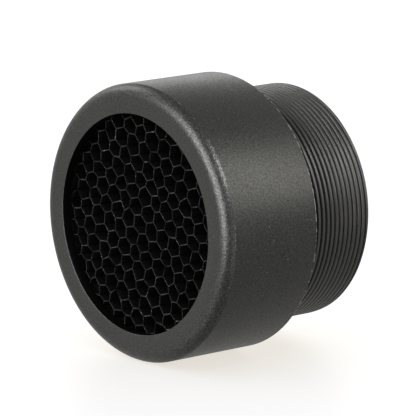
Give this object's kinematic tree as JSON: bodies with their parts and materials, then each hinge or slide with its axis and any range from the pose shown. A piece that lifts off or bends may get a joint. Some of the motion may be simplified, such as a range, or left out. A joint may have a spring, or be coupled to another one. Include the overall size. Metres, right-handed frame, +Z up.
{
  "type": "snoot",
  "caption": "Screw-in snoot: smooth black hood barrel with a rounded nose and a recessed honeycomb grid, on a male-threaded sleeve that unscrews from its back.",
  "frame": {"origin": "on the snoot's axis, half way between its front face and its threaded end", "axes": "+Y along the axis from the front face to the threaded end; the snoot lies on its side, +Z up"},
  "size_m": [0.042, 0.0316, 0.042],
  "materials": {
    "barrel_anodised": "bead-blasted, black anodised",
    "sleeve_anodised": "machined, black anodised",
    "band_anodised": "black anodised",
    "foil_black": "matt black coated foil",
    "nylon_black": "black nylon"
  },
  "bodies": {
    "sleeve": {"threaded_sleeve": "sleeve_anodised"},
    "washer": {"slip_washer": "nylon_black"},
    "hood": {"hood_barrel": "barrel_anodised", "core_band": "band_anodised", "foil_ribbon_01": "foil_black", "foil_ribbon_02": "foil_black", "foil_ribbon_03": "foil_black", "foil_ribbon_04": "foil_black", "foil_ribbon_05": "foil_black", "foil_ribbon_06": "foil_black", "foil_ribbon_07": "foil_black", "foil_ribbon_08": "foil_black", "foil_ribbon_09": "foil_black", "foil_ribbon_10": "foil_black", "foil_ribbon_11": "foil_black", "foil_ribbon_12": "foil_black", "foil_ribbon_13": "foil_black", "foil_ribbon_14": "foil_black", "foil_ribbon_15": "foil_black", "foil_ribbon_16": "foil_black", "foil_ribbon_17": "foil_black", "foil_ribbon_18": "foil_black", "foil_ribbon_19": "foil_black", "foil_ribbon_20": "foil_black", "foil_ribbon_21": "foil_black", "foil_ribbon_22": "foil_black", "foil_ribbon_23": "foil_black", "foil_ribbon_24": "foil_black", "foil_ribbon_25": "foil_black", "foil_ribbon_26": "foil_black"}
  },
  "joints": [
    {"name": "hood_travel", "type": "slide", "parent": "sleeve", "child": "washer", "axis": [0, -1, 0], "range_m": [0, 0.00454]},
    {"name": "hood_unscrew", "type": "hinge", "parent": "washer", "child": "hood", "pos_m": [0, 0, 0], "axis": [0, -1, 0], "range_deg": [0, 1800]}
  ],
  "couplings": [
    {"joint": "hood_travel", "follows": "hood_unscrew", "m_per_rad": 0.00014438}
  ]
}
